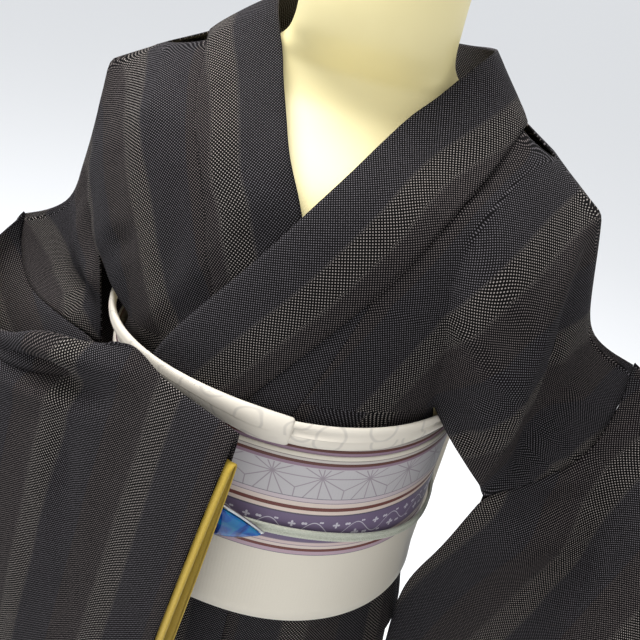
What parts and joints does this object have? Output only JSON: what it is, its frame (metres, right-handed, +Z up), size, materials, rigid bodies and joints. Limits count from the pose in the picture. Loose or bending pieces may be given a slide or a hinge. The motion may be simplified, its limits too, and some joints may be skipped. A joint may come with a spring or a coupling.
{
  "type": "kimono on a dress form",
  "caption": "Striped kimono with sash set, dressed on a limbless form with a pole and a round base.",
  "frame": {"origin": "centre of the base's underside, on the floor", "axes": "+Z up; the front of the garment faces -Y; +X is the wearer's left, which is on the right when seen from the front"},
  "size_m": [0.6707, 0.385, 1.452],
  "materials": {
    "kimono_cloth": "matte woven silk with dotted lengthwise stripes",
    "lining": "plain silk lining, soft sheen",
    "sash_cloth": "woven brocade, soft sheen",
    "scarf_silk": "figured silk, satin",
    "braided_cord": "flat silk braid",
    "clasp_silver": "polished silver",
    "clasp_glass": "glossy enamel-like glass",
    "form_skin": "smooth cream shell",
    "stand_paint": "satin pale grey"
  },
  "bodies": {
    "root": {"left_body": "kimono_cloth", "right_body": "kimono_cloth", "left_front_lap": "kimono_cloth", "right_front_lap": "kimono_cloth", "collar": "kimono_cloth", "left_sleeve": "kimono_cloth", "right_sleeve": "kimono_cloth", "left_cuff_lining": "lining", "right_cuff_lining": "lining", "sash_band": "sash_cloth", "sash_drum_knot": "sash_cloth", "sash_tail": "sash_cloth", "sash_scarf": "scarf_silk", "sash_cord": "braided_cord", "clasp_rim": "clasp_silver", "clasp_stone": "clasp_glass", "form_torso": "form_skin", "form_neck_cap": "stand_paint", "stand_pole": "stand_paint", "stand_base": "stand_paint"}
  },
  "joints": []
}
